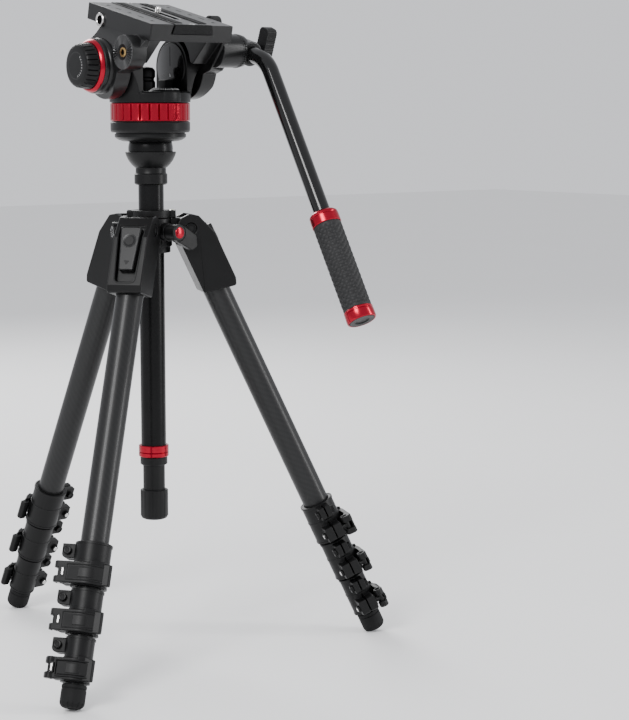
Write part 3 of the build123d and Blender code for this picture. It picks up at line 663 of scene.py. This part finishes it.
def make_level_collar():
    softened("level_collar", MOULDING, 0.7)
    _, high = extent("level_collar", COLUMN)
    turn = radians(-35.6)
    spot = shifted(COLUMN, 21.8 * cos(turn), 21.8 * sin(turn), high.z)
    lathe("level_vial_rim", [(3.6, -0.2), (3.6, 0.5), (4.6, 0.5), (4.9, -0.2)], spot, STEEL,
          "level_collar", steps=48)
    lathe("level_vial", [(0, 0.75), (1.6, 0.68), (3.0, 0.42), (3.6, 0.1), (3.6, -0.2)], spot,
          VIAL, "level_collar", steps=48)


def make_column_lock():
    softened("column_lock_knob", MOULDING, 1.0, 3)
    joint = JOINTS["column_lock_turn"]
    out = Vector(joint["axis"])
    axle = basis(joint["pos_m"], UP.cross(out), out)
    _, high = extent("column_lock_knob", axle)
    cap = shifted(axle, 0, 0, high.z)
    lathe("column_lock_cap", [(0, 1.1), (3.6, 0.95), (5.8, 0.35), (6.3, -0.4)], cap, RED,
          "column_lock_knob", steps=64)


def arc_points(centre, radius, start, end, steps=10):
    """(radius, height) points of an arc, angles in degrees from the outward radius."""
    points = []
    for k in range(steps + 1):
        angle = radians(start + (end - start) * k / steps)
        points.append((centre[0] + radius * cos(angle), centre[1] + radius * sin(angle)))
    return points


COLUMN_RADIUS = 13.75
COLUMN_BORE = 12
NECK = 513.5          # top of the column's tube
BALL_CENTRE = 552.0


def make_column():
    """Column tube, its top fitting, end ring, levelling handle and ball."""
    low, _ = extent("centre_column", COLUMN)
    _, ball_high = extent("levelling_ball", COLUMN)
    tube = lathe("column_tube", [(COLUMN_BORE, low.z), (COLUMN_RADIUS, low.z),
                                 (COLUMN_RADIUS, NECK), (COLUMN_BORE, NECK)],
                 COLUMN, BLACK_METAL, "column", steps=128)
    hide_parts("centre_column")
    cup = [(COLUMN_BORE, NECK), (16.3, NECK), (17.85, NECK + 1.4), (17.85, NECK + 11.2),
           (16.9, NECK + 12.2), (16.5, NECK + 13), (16.5, NECK + 18), (18.2, NECK + 19.2),
           (21.2, NECK + 22.2), (24.2, NECK + 26.4), (26.4, NECK + 31), (27.4, NECK + 34.2),
           (27.5, NECK + 35.2), (27.1, NECK + 35.5), (24.6, NECK + 35.5), (23.6, NECK + 30)]
    lathe("column_cup", cup, COLUMN, CASTING, "column", steps=128)
    ring_low, ring_high = extent("column_end_ring", COLUMN)
    reach = ring_high.x
    ring = lathe("column_end_ring_looks",
                 [(COLUMN_RADIUS, ring_low.z), (reach - 0.7, ring_low.z),
                  (reach, ring_low.z + 0.7),
                  (reach, ring_low.z + 4.2), (reach - 0.6, ring_low.z + 4.8),
                  (reach, ring_low.z + 5.4), (reach, ring_high.z - 0.7),
                  (reach - 0.7, ring_high.z), (COLUMN_RADIUS, ring_high.z)],
                 COLUMN, RED, "column", steps=128)
    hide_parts("column_end_ring")
    handle_low, _ = extent("levelling_handle", COLUMN)
    foot = handle_low.z
    profile = [(0, foot + 1.2), (7.5, foot + 1.2), (8.2, foot), (11.5, foot),
               (13.8, foot + 1.2), (15.25, foot + 3.8), (15.25, foot + 32),
               (14.4, foot + 32.8), (12, foot + 32.8), (12, foot + 61), (14.2, foot + 61),
               (14.9, foot + 61.8), (14.9, foot + 69), (14.2, foot + 69.6), (11.5, foot + 69.6),
               (11.5, foot + 84), (4.5, foot + 84), (4.5, 515), (0, 515)]
    handle = lathe("levelling_handle_looks", profile, COLUMN, MOULDING, "levelling_handle",
                   steps=144, ribs=fluted(18, 0.3, foot + 3.7, foot + 32.1))
    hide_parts("levelling_handle")
    dome = arc_points((0, BALL_CENTRE), ball_high.x, -65, 48, 24)
    ball = lathe("levelling_ball_looks", [(0, dome[0][1])] + dome + [(0, dome[-1][1])], COLUMN,
                 BLACK_METAL, "levelling_ball", steps=128)
    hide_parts("levelling_ball")


# ---------------------------------------------------------------- head, below the tilt
RING_RADIUS = 43.0
RING_BOTTOM = 581.8
RING_TOP = 601.5
SPINDLE_RADIUS = 30.5
TILT_HEIGHT = 640
ARM_FACE = 26.6       # raised disc inside an arm, from the column's axis
POST_Y = 8
DIAL_Y = -28


def make_head_base():
    profile = [(22.9, 560), (26, 560), (30, 560.4), (34, 561.6), (37, 563.4), (38.5, 565),
               (38.5, 568.2), (37.2, 568.7), (37.2, 569.5), (41.5, 569.8), (42.6, 571),
               (RING_RADIUS, 573), (RING_RADIUS, 580.2), (42.2, 581.3),
               (SPINDLE_RADIUS, 581.3), (SPINDLE_RADIUS, 600.6), (0, 600.6)]
    base = lathe("head_base_looks", profile, COLUMN, CASTING, "head_base", steps=160)
    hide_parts("head_base")
    for name, low, high, body in (
            ("pan_seat", RING_BOTTOM - 0.6, RING_BOTTOM - 0.05, "head_base"),
            ("pan_skirt", RING_TOP + 0.05, RING_TOP + 0.9, "pan_body")):
        lathe(name, [(SPINDLE_RADIUS, low), (41.4, low), (41.4, high), (SPINDLE_RADIUS, high)],
              COLUMN, CASTING, body, steps=128)
    flutes = fluted(26, 1.3, RING_BOTTOM + 1.9, RING_TOP - 1.9, 0.07, 0.35)
    profile = [(30.9, RING_BOTTOM), (42.2, RING_BOTTOM), (RING_RADIUS, RING_BOTTOM + 0.8),
               (RING_RADIUS, RING_BOTTOM + 1.6), (RING_RADIUS, RING_BOTTOM + 2.0),
               (RING_RADIUS, RING_TOP - 2.0), (RING_RADIUS, RING_TOP - 1.6),
               (RING_RADIUS, RING_TOP - 0.8), (42.2, RING_TOP), (30.9, RING_TOP)]
    ring = lathe("pan_drag_ring_looks", profile, COLUMN, RED, "pan_drag_ring", steps=520,
                 ribs=flutes, smooth=24)
    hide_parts("pan_drag_ring")


def make_yoke():
    """Arms with discs on their insides, the level post and the pan dial."""
    softened("yoke", CASTING, 0.5, 2, 40)
    pan = "pan_body"
    for side, hand in SIDES:
        disc = facing(COLUMN, (side * ARM_FACE, 0, TILT_HEIGHT), (-side, 0, 0))
        lathe(f"arm_disc_{hand}",
              [(0, 0.35), (23.2, 0.35), (23.8, 0.05), (25.2, 0.05), (26.2, -0.4)], disc, GLOSS,
              pan, steps=128)
        # The slit is a thin dark strip in painted shade, not a cut.
        prism(f"arm_slit_{hand}", slab(0.9, 21, 0.4, (0, 11.5)), 0.2, 0.5, disc, RECESS_SHADE, pan)
        prism(f"arm_pointer_{hand}", [(-1.1, -10.5), (1.1, -10.5), (0, -6.6)], 0.2, 0.5, disc,
              PRINT, pan)
    post = shifted(COLUMN, 0, POST_Y, 0)
    lathe("level_post", [(10.3, RING_TOP + 9), (10.3, 623.6), (9.0, 625.3), (9.0, 627.6),
                         (10.3, 629.2), (10.3, 635.6), (9.4, 637.4), (7.4, 638.9),
                         (5.2, 639.6), (5.0, 639.2), (0, 639.2)],
          post, MOULDING, pan, steps=96)
    lathe("level_post_vial", [(0, 640.1), (2.2, 639.95), (4.0, 639.5), (4.9, 639.1)], post,
          VIAL, pan, steps=64)
    dial = shifted(COLUMN, 0, DIAL_Y, 0)
    lathe("pan_dial", [(18.2, 604), (18.2, 611.6), (16.75, 614.15), (12.7, 617.15),
                       (12.0, 617.6), (11.4, 617.4), (0, 617.4)],
          dial, MOULDING, pan, steps=128)
    for k in range(25):
        length = 3.0 if k % 4 == 0 else 1.7
        tick = dial @ Matrix.Rotation(radians(180 + 7.5 * k), 4, "Z")
        tick = tick @ Matrix.Translation((14.75, 0, 615.65)) @ Matrix.Rotation(
            radians(36.5), 4, "Y")
        prism(f"pan_dial_tick_{k:02d}", slab(length, 0.42, 0.1), -0.2, 0.12, tick, PRINT, pan)


# ---------------------------------------------------------------- tilting body
PLATFORM_TOP = 58.7
WING_MIDDLE = 38.5    # middle of the platform beside the plate
SCREW_Y = -4
SCREW_RADIUS = 3.17
LEFT_ROSETTE = (-46.0, 24.0)
RIGHT_ROSETTE = (-48.0, 28.0)


def make_tilt_body():
    body = "tilt_body"
    softened("tilt_body", SATIN, 0.9, 2)
    left = facing(TILT, (-66, *LEFT_ROSETTE), (-1, 0, 0))
    # The teeth are lightened partly as a painted highlight, besides their grey paint.
    toothed("left_rosette", 8.6, 17.6, -0.6, 1.7, 36, left, GREY_AND_HIGHLIGHT, body)
    lathe("left_rosette_hub", [(3.1, -1.5), (3.1, 0.9), (4.9, 0.9), (5.2, 0.4)], left, BRASS,
          body, steps=48)
    lathe("left_rosette_floor", [(5.1, 0.35), (7.6, 0.35), (8.5, 0.9), (8.7, -0.3)], left,
          CASTING, body, steps=64)
    right = facing(TILT, (73.9, *RIGHT_ROSETTE), (1, 0, 0))
    lathe("right_rosette_edge", [(17.4, -0.2), (18.3, 0.1), (18.3, 1.7), (17.2, 1.9)], right,
          SATIN, body, steps=240, ribs=fluted(40, 0.7, 0, 1.75))
    bush = mount_frame("platform_side_socket")
    mouth = 5.0
    lathe("platform_bush", [(4.8, mouth - 3), (4.8, mouth + 0.7), (5.5, mouth + 1.3),
                            (6.9, mouth + 1.3), (7.5, mouth + 0.7), (7.7, mouth - 1)],
          bush, STEEL, body, steps=64)
    for side, hand in SIDES:
        for number, along in enumerate((-52, -8, 34)):
            spot = shifted(TILT, side * WING_MIDDLE, along, PLATFORM_TOP)
            lathe(f"wing_{hand}_{number}_screw", [(0, -0.15), (1.0, -0.15), (1.2, 0.22), (2.5, 0.22),
                                    (2.8, -0.1)], spot, BLACK_METAL, body, steps=32)
        for number, along in enumerate((-30, 14)):
            spot = shifted(TILT, side * WING_MIDDLE, along, PLATFORM_TOP)
            # Each slot is a thin dark sheet in painted shade, not a cut.
            prism(f"wing_slot_{hand}_{number}", slab(2.6, 11, 1.25), -0.3, 0.06, spot, RECESS_SHADE,
                  body)
    seat = facing(TILT, (-64, 0, 0), (-1, 0, 0))
    lathe("drag_knob_seat", [(29.5, -2), (29.5, 1.6), (28.6, 3.2), (27, 4.4), (26.2, 4.6)],
          seat, SATIN, body, steps=128)


def make_tilt_drag():
    body = "tilt_drag_knob"
    axle = facing(TILT, (0, 0, 0), (-1, 0, 0))
    ring = lathe("tilt_drag_ring", [(20, 73.6), (27.6, 73.6), (28.0, 74.0), (28.0, 74.6),
                                    (27.7, 75.2), (26.6, 77.2), (25.6, 78), (20, 78)],
                 axle, RED, body, steps=160)
    lathe("tilt_drag_collar", [(20, 69), (28.4, 69), (29, 69.6), (29, 71), (28.7, 72.6),
                               (27.4, 73.5), (20, 73.5)], axle, SATIN, body, steps=160)
    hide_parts("tilt_drag_knob")
    rows = [79.2 + 1.6 * k for k in range(7)]
    profile = [(20, 77.9), (24.0, 77.9), (24.4, 78.4)]
    profile += [(24.4 - 0.13 * (row - 79), row) for row in rows]
    profile += [(22.4, 90.2), (21.6, 91.4), (20.2, 92.1), (18.6, 92.4), (12, 92.55),
                (0, 92.6)]
    lathe("tilt_drag_grip", profile, axle, MOULDING, body, steps=312,
          ribs=fluted(26, 1.5, 79.0, 90.3))
    face = shifted(axle, 0, 0, 92.5)
    lathe("tilt_drag_mark", [(13.6, 0.0), (13.8, 0.1), (14.3, 0.1), (14.5, 0.0)], face, SATIN,
          body, steps=128)
    for k in range(9):
        tick = face @ Matrix.Rotation(radians(-60 + 15 * k), 4, "Z")
        tick = tick @ Matrix.Translation((11.6, 0, 0))
        prism(f"tilt_drag_tick_{k}", slab(1.8, 0.4, 0.1), -0.1, 0.1, tick, PRINT, body)


def make_small_knobs():
    """Tilt lock and plate lock on the right of the head."""
    axle = facing(TILT, (0, 0, -8.5), (1, 0, 0))
    knob = lathe("tilt_lock_knob_looks",
                 [(3, 52), (3, 64.4), (9.8, 64.4), (10.5, 65.2), (10.5, 66), (10.4, 67.5),
                  (10.4, 73.2), (9.6, 74.8), (8.6, 75.4), (3.8, 75.4), (3.4, 75.0),
                  (0, 75.0)], axle, MOULDING, "tilt_lock_knob", steps=140,
                 ribs=fluted(14, 0.8, 66.5, 74))
    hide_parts("tilt_lock_knob")
    axle = facing(TILT, (0, -20, 53.2), (1, 0, 0))
    knob = lathe("plate_lock_knob_looks",
                 [(3, 30), (3, 55), (6.8, 55), (7.5, 55.8), (7.5, 57), (7.4, 58), (7.4, 67),
                  (6.9, 68.4), (6.2, 69), (2.6, 69), (2.3, 68.6), (0, 68.6)], axle,
                 MOULDING, "plate_lock_knob", steps=140, ribs=fluted(14, 0.7, 57.5, 68))
    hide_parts("plate_lock_knob")


def make_plate():
    """Sliding plate with two ribbed rubber strips and the camera screw."""
    body = "sliding_plate"
    softened("sliding_plate", BLACK_METAL, 0.5)
    low, high = extent("sliding_plate", TILT)
    front, rear, top = high.y - 6, low.y + 6, high.z
    cross = facing(TILT, (0, 0, 0), (1, 0, 0))
    ribbed = [(front, top - 0.3)]
    rib_step = 2.2
    level = front
    while level > rear + rib_step:
        ribbed += [(level - 0.25, top + 0.65), (level - 1.35, top + 0.65),
                   (level - 1.6, top + 0.2), (level - 2.1, top + 0.2)]
        level -= rib_step
    ribbed += [(level, top - 0.3)]
    for side, hand in SIDES:
        start, end = sorted((side * 10.2, side * 20.6))
        prism(f"plate_strip_{hand}", ribbed, start, end, cross, RUBBER, body, smooth=20)
    for side, hand in SIDES:
        edge = shifted(TILT, side * 5.2, -8, top)
        prism(f"plate_slot_edge_{hand}", slab(1.6, 66, 0.7), -0.3, 0.12, edge, STEEL, body)
    for end, along in (("front", high.y - 2.8), ("rear", low.y + 2.8)):
        stop = shifted(TILT, 0, along, top)
        lathe(f"plate_stop_{end}", [(0, 0.1), (1.1, 0.1), (1.3, 0.3), (2.3, 0.3), (2.6, -0.1)],
              stop, STEEL, body, steps=32)
    screw = shifted(TILT, 0, SCREW_Y, 0)
    base, tip = 49.5, 65.2
    profile = [(0, base), (7.4, base), (7.6, base + 0.4), (7.6, base + 3.8),
               (7.2, base + 4.2), (2.6, base + 4.2), (2.6, 59.8), (3.0, 59.9)]
    turns = 5
    start = 60.1
    for k in range(turns * 2):
        profile.append((SCREW_RADIUS if k % 2 else 2.75,
                        start + (tip - 1.2 - start) * k / (2 * turns)))
    profile += [(2.6, tip), (0, tip)]
    piece = lathe("camera_screw_looks", profile, screw, STEEL, "camera_screw", steps=64)
    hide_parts("camera_screw")


# ---------------------------------------------------------------- pan bar
BAR_PLANE = 87.0
BAR_RADIUS = 9.0
BAR_CORNER = Vector((-90.0, 27.0))
BAR_END = Vector((-303.0, -195.0))
BEND_RADIUS = 36.0
GRIP_LENGTH = 122.0
GRIP_RADIUS = 15.0
GRIP_BORE = 9.05
COLLAR_LENGTH = 15


def bar_route():
    """Points of the bar's centre line in its plane, with its one bend."""
    first = Vector(RIGHT_ROSETTE)
    into = (BAR_CORNER - first).normalized()
    out = (BAR_END - BAR_CORNER).normalized()
    turn = acos(max(-1, min(1, into.dot(out))))
    reach = BEND_RADIUS * sin(turn / 2) / cos(turn / 2)
    side = (out - into * out.dot(into)).normalized()
    centre = BAR_CORNER - into * reach + side * BEND_RADIUS
    route = [first - into * 15, first]
    for k in range(25):
        angle = turn * k / 24
        route.append(centre - side * BEND_RADIUS * cos(angle) + into * BEND_RADIUS * sin(angle))
    route.append(BAR_END)
    return route


def make_pan_bar():
    route = bar_route()
    steps = 64
    points, faces = [], []
    for k, spot in enumerate(route):
        ahead, behind = route[min(k + 1, len(route) - 1)], route[max(k - 1, 0)]
        along = (ahead - behind).normalized()
        across = Vector((-along.y, along.x))
        for n in range(steps):
            angle = 2 * pi * n / steps
            lift = BAR_RADIUS * sin(angle)
            points.append((BAR_PLANE + BAR_RADIUS * cos(angle), spot.x + across.x * lift,
                           spot.y + across.y * lift))
    for k in range(len(route) - 1):
        for n in range(steps):
            m = (n + 1) % steps
            faces.append((k * steps + n, k * steps + m, (k + 1) * steps + m,
                          (k + 1) * steps + n))
    faces.append(tuple(range(steps))[::-1])
    faces.append(tuple(range((len(route) - 1) * steps, len(route) * steps)))
    bar = build("pan_bar_looks", points, faces, TILT, GLOSS, "pan_bar")
    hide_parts("pan_bar")


def grip_pattern(start, end):
    """Rows of shallow diamonds, as moulded in a soft grip."""
    def ribs(angle, radius, height):
        if not start < height < end:
            return radius
        column, row = angle * 6, (height - start) * 0.5
        weave = abs(sin(column + row)) * abs(sin(column - row))
        return radius - 1.1 + 1.2 * min(1.0, 1.9 * weave)
    return ribs


def make_grip():
    """Rubber sleeve with a diamond pattern between two turned red collars."""
    back = (BAR_CORNER - BAR_END).normalized()
    end = Vector((BAR_PLANE, *BAR_END))
    axle = facing(TILT, end, (0, back.x, back.y))
    body = "pan_bar"
    profile = [(GRIP_BORE, 9), (14.6, 9), (GRIP_RADIUS, 9.6)]
    low, high = 12.0, GRIP_LENGTH - 18.0
    rows = 90
    top = GRIP_LENGTH - COLLAR_LENGTH
    profile += [(GRIP_RADIUS, low + (high - low) * k / rows) for k in range(rows + 1)]
    profile += [(GRIP_RADIUS, GRIP_LENGTH - 15.6), (14.6, top), (GRIP_BORE, top)]
    sleeve = lathe("grip_sleeve", profile, axle, SOFT_GRIP, body, steps=180,
                   ribs=grip_pattern(low, high), smooth=50)
    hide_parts("grip")
    cap = [(13.4, -3.2), (14.2, -3.9), (15.2, -3.4), (15.7, -2.2),
           (15.7, 5.6), (15.1, 6.4), (15.1, 7.2), (15.7, 7.8), (15.7, 8.4), (15.2, 9),
           (GRIP_BORE, 9)]
    lathe("grip_cap", cap, axle, RED, body, steps=128)
    lathe("grip_cap_disc", [(0, -2.8), (7.2, -2.8), (8.0, -3.75), (13.2, -4), (13.6, -3.6)],
          axle, MOULDING, body, steps=128)
    collar = [(GRIP_BORE, top), (15.2, top), (15.7, top + 0.6), (15.7, top + 8.6),
              (15.1, top + 9.4), (15.1, top + 10), (15.5, top + 10.6), (15.2, top + 12.4),
              (13.4, top + 14.2), (11.6, top + COLLAR_LENGTH), (GRIP_BORE, top + COLLAR_LENGTH)]
    lathe("grip_collar", collar, axle, RED, body, steps=128)


def make_bar_clamp():
    """Barrel on its rosette, and the paddle knob with a ribbed rim."""
    # The barrel's lighter grey is partly its grey paint, partly a painted highlight.
    softened("bar_clamp", GREY_AND_HIGHLIGHT, 0.4, 2, 50)
    face = facing(TILT, (76.5, *RIGHT_ROSETTE), (1, 0, 0))
    lathe("bar_clamp_teeth", [(16.0, 0), (17.9, 0.1), (17.9, 1.8), (16.4, 2.6), (14, 2.6)],
          face, SATIN, "bar_clamp", steps=240, ribs=fluted(40, 0.7, 0.05, 1.9))
    route = bar_route()
    along = (BAR_CORNER - route[1]).normalized()
    mouth = Vector((BAR_PLANE, *(route[1] + along * 15)))
    lathe("bar_clamp_collar", [(9.15, -2), (9.15, 0.9), (11.2, 0.9), (11.9, 0.2), (11.9, -2)],
          facing(TILT, mouth, (0, along.x, along.y)), MOULDING, "bar_clamp", steps=96)
    body = "clamp_knob"
    _, high = extent("clamp_knob", TILT)
    hub = facing(TILT, (0, RIGHT_ROSETTE[0] - 2.5, RIGHT_ROSETTE[1] + 10), (1, 0, 0))
    hub = hub @ Matrix.Rotation(radians(8), 4, "Z")
    outline = slab(15.7, 33.6, 5, steps=12)
    rim = []
    for k, (x, y) in enumerate(outline):
        nx, ny = outline[(k + 1) % len(outline)]
        pieces = max(1, round(hypot(nx - x, ny - y) / 0.45))
        rim += [(x + (nx - x) * j / pieces, y + (ny - y) * j / pieces) for j in range(pieces)]
    girth, wavy = 0.0, []
    for k, (x, y) in enumerate(rim):
        px, py = rim[k - 1]
        girth += hypot(x - px, y - py)
        pull = 1 - 0.075 * max(0.0, cos(2 * pi * girth / 2.9)) ** 2
        wavy.append((x * pull, y * (1 - (1 - pull) / 3)))
    knob = prism("clamp_knob_paddle", wavy, 107.2, high.x - 0.1, hub, MOULDING, body,
                 smooth=26)
    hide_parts("clamp_knob")
    lathe("clamp_knob_hub", [(0, 97), (2.95, 97), (2.95, 101), (6.9, 101), (7.5, 101.6),
                             (7.5, high.x - 0.8), (6.8, high.x), (0, high.x)],
          facing(TILT, (0, *RIGHT_ROSETTE), (1, 0, 0)), MOULDING, body, steps=96)


# ---------------------------------------------------------------- stage
def area_light(name, location, target, size, power, length=None):
    light = bpy.data.lights.new(name, "AREA")
    light.energy = power
    light.size = size
    if length:
        light.shape = "RECTANGLE"
        light.size_y = length
    lamp = bpy.data.objects.new(name, light)
    lamp.location = location
    lamp.rotation_euler = (Vector(target) - Vector(location)).to_track_quat(
        "-Z", "Y").to_euler()
    bpy.context.scene.collection.objects.link(lamp)


def make_stage():
    world = bpy.data.worlds.new("studio")
    world.use_nodes = True
    world.node_tree.nodes["Background"].inputs["Color"].default_value = (0.95, 0.96, 1, 1)
    world.node_tree.nodes["Background"].inputs["Strength"].default_value = 0.95
    bpy.context.scene.world = world
    graph = Graph("pale_floor", "", specular=0.2)
    graph.set(Base_Color=graph.blend(graph.noise(3), (0.86, 0.86, 0.86, 1),
                                     (0.88, 0.88, 0.88, 1)), Roughness=0.85)
    mesh = bpy.data.meshes.new("floor")
    mesh.from_pydata([(-9, -9, 0), (9, -9, 0), (9, 9, 0), (-9, 9, 0)], [], [(0, 1, 2, 3)])
    mesh.materials.append(graph.material)
    floor = bpy.data.objects.new("floor", mesh)
    bpy.context.scene.collection.objects.link(floor)
    middle = (0, 0, 0.4)
    area_light("key", (-2.3, -1.2, 2.1), middle, 1.1, 75)
    area_light("side_strip", (1.9, -1.9, 1.1), middle, 0.35, 38, 2.0)
    area_light("rim", (0.6, 2.4, 1.9), middle, 1.4, 60)


CAMERA_PLACE = (-1216.1, -1831.5, 596.2)  # from the column's axis on the floor
CAMERA_TURN = (82.857, 0.042, -38.212)    # degrees
CAMERA_LENS = 100.71


def make_camera():
    """Camera at the photograph's viewing angle, placed from the column's axis."""
    lens = bpy.data.cameras.new("camera")
    lens.lens = CAMERA_LENS
    camera = bpy.data.objects.new("camera", lens)
    camera.location = COLUMN @ Vector(CAMERA_PLACE)
    camera.rotation_euler = [radians(angle) for angle in CAMERA_TURN]
    bpy.context.scene.collection.objects.link(camera)
    bpy.context.scene.camera = camera


make_stage()
make_camera()
make_legs()
make_spider()
make_level_collar()
make_column_lock()
make_column()
make_head_base()
make_yoke()
make_tilt_body()
make_tilt_drag()
make_small_knobs()
make_plate()
make_pan_bar()
make_grip()
make_bar_clamp()
